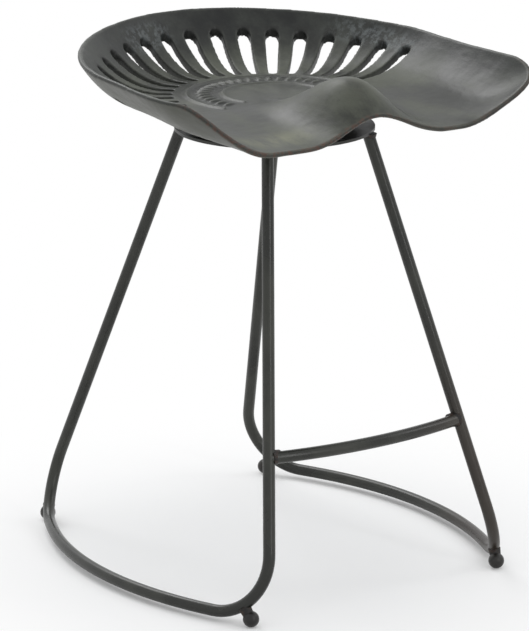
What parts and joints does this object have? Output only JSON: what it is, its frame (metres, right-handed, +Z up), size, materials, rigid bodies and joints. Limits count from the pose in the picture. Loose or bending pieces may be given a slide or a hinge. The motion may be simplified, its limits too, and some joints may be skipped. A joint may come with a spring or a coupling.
{
  "type": "tractor seat stool",
  "caption": "Stool with a pierced cast-iron tractor seat on a ball swivel, over a black bent-rod base with bowed floor runners, ball feet and a footrest bar.",
  "frame": {"origin": "on the floor, on the seat's swivel axis", "axes": "+Z up along the swivel axis, front of the stool towards -Y, +X to the sitter's left as seen from the front"},
  "size_m": [0.4111, 0.4166, 0.5313],
  "materials": {
    "seat_iron": "dark pewter-grey patina on cast iron, satin, with rust at the edges",
    "black_rod": "worn satin black on steel rod",
    "foot_steel": "worn satin black on steel balls, rust at the neck",
    "weld_metal": "blackened weld, rusty",
    "plate_steel": "worn satin black on steel plate",
    "swivel_steel": "dull dark steel sheet",
    "bearing_steel": "greased bright steel",
    "fastener_steel": "dull zinc"
  },
  "bodies": {
    "base": {"left_side_frame": "black_rod", "right_side_frame": "black_rod", "footrest_bar": "black_rod", "front_left_foot": "foot_steel", "front_right_foot": "foot_steel", "back_left_foot": "foot_steel", "back_right_foot": "foot_steel", "foot_weld_beads": "weld_metal", "leg_weld_beads": "weld_metal", "footrest_weld_beads": "weld_metal", "top_plate": "plate_steel", "swivel_lower_plate": "swivel_steel", "bearing_balls": "bearing_steel", "ball_cage": "swivel_steel", "swivel_rivet": "bearing_steel", "base_bolts": "fastener_steel", "base_bolt_washers": "fastener_steel", "swivel_weld_nuts": "fastener_steel"},
    "swivel_seat": {"seat": "seat_iron", "swivel_upper_plate": "swivel_steel", "seat_bolts": "fastener_steel", "seat_bolt_washers": "fastener_steel"}
  },
  "joints": [
    {"name": "seat_swivel", "type": "hinge", "parent": "base", "child": "swivel_seat", "pos_m": [0, 0, 0.4514], "axis": [0, 0, 1], "continuous": true}
  ]
}
